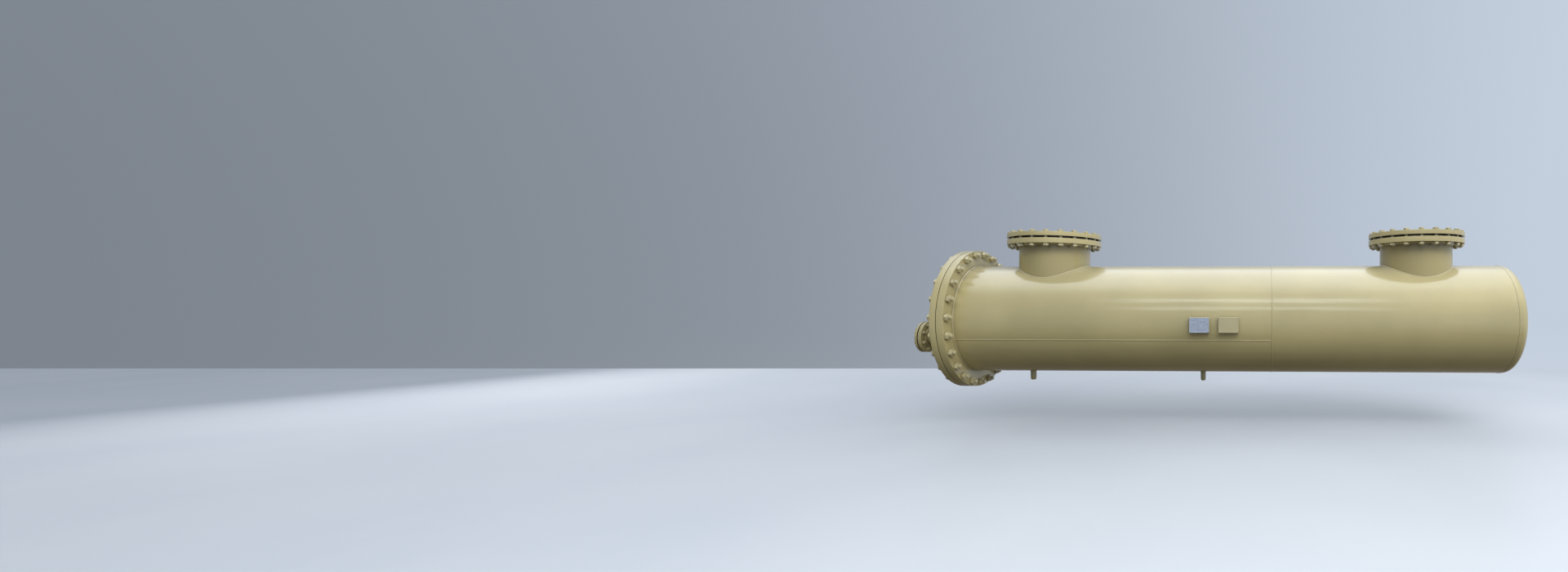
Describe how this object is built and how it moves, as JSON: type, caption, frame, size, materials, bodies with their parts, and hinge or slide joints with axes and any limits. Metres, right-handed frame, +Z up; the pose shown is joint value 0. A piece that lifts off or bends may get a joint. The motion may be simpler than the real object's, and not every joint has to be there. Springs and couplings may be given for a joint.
{
  "type": "shell and tube heat exchanger",
  "caption": "Horizontal shell and tube heat exchanger: welded shell with a dished rear head, a bolted flat front cover with water nozzles, and large blinded gas nozzles on top.",
  "frame": {"origin": "centre of the outer face of the gas inlet's blind flange, by which the vessel is held", "axes": "+Z up, out of the gas nozzles; +X along the shell from the bolted cover to the dished head; the name plates face -Y"},
  "size_m": [4.2801, 1.01, 1.1369],
  "materials": {
    "shell_paint": "gloss beige paint on rolled steel plate",
    "flange_paint": "gloss beige paint on machined steel",
    "nozzle_paint": "gloss beige paint on steel pipe",
    "bolt_paint": "gloss beige paint on forged bolts",
    "gasket_rubber": "dark compressed sheet",
    "holder_paint": "gloss beige paint on folded sheet",
    "plate_aluminium": "etched, satin"
  },
  "bodies": {
    "root": {"shell_front_course": "shell_paint", "shell_rear_course": "shell_paint", "rear_head": "shell_paint", "shell_flange": "flange_paint", "front_cover": "flange_paint", "gas_inlet_flange": "flange_paint", "gas_inlet_blind": "flange_paint", "gas_outlet_flange": "flange_paint", "gas_outlet_blind": "flange_paint", "water_inlet_flange": "flange_paint", "water_inlet_blind": "flange_paint", "water_outlet_flange": "flange_paint", "water_outlet_blind": "flange_paint", "gas_inlet_pipe": "nozzle_paint", "gas_outlet_pipe": "nozzle_paint", "water_inlet_pipe": "nozzle_paint", "water_outlet_pipe": "nozzle_paint", "front_drain": "nozzle_paint", "middle_drain": "nozzle_paint", "front_drain_plug": "nozzle_paint", "middle_drain_plug": "nozzle_paint", "cover_bolts": "bolt_paint", "gas_inlet_bolts": "bolt_paint", "gas_outlet_bolts": "bolt_paint", "water_inlet_bolts": "bolt_paint", "water_outlet_bolts": "bolt_paint", "cover_gasket": "gasket_rubber", "gas_inlet_gasket": "gasket_rubber", "gas_outlet_gasket": "gasket_rubber", "water_inlet_gasket": "gasket_rubber", "water_outlet_gasket": "gasket_rubber", "front_plate_holder": "holder_paint", "rear_plate_holder": "holder_paint", "rear_name_plate": "holder_paint", "front_name_plate": "plate_aluminium"}
  },
  "joints": []
}
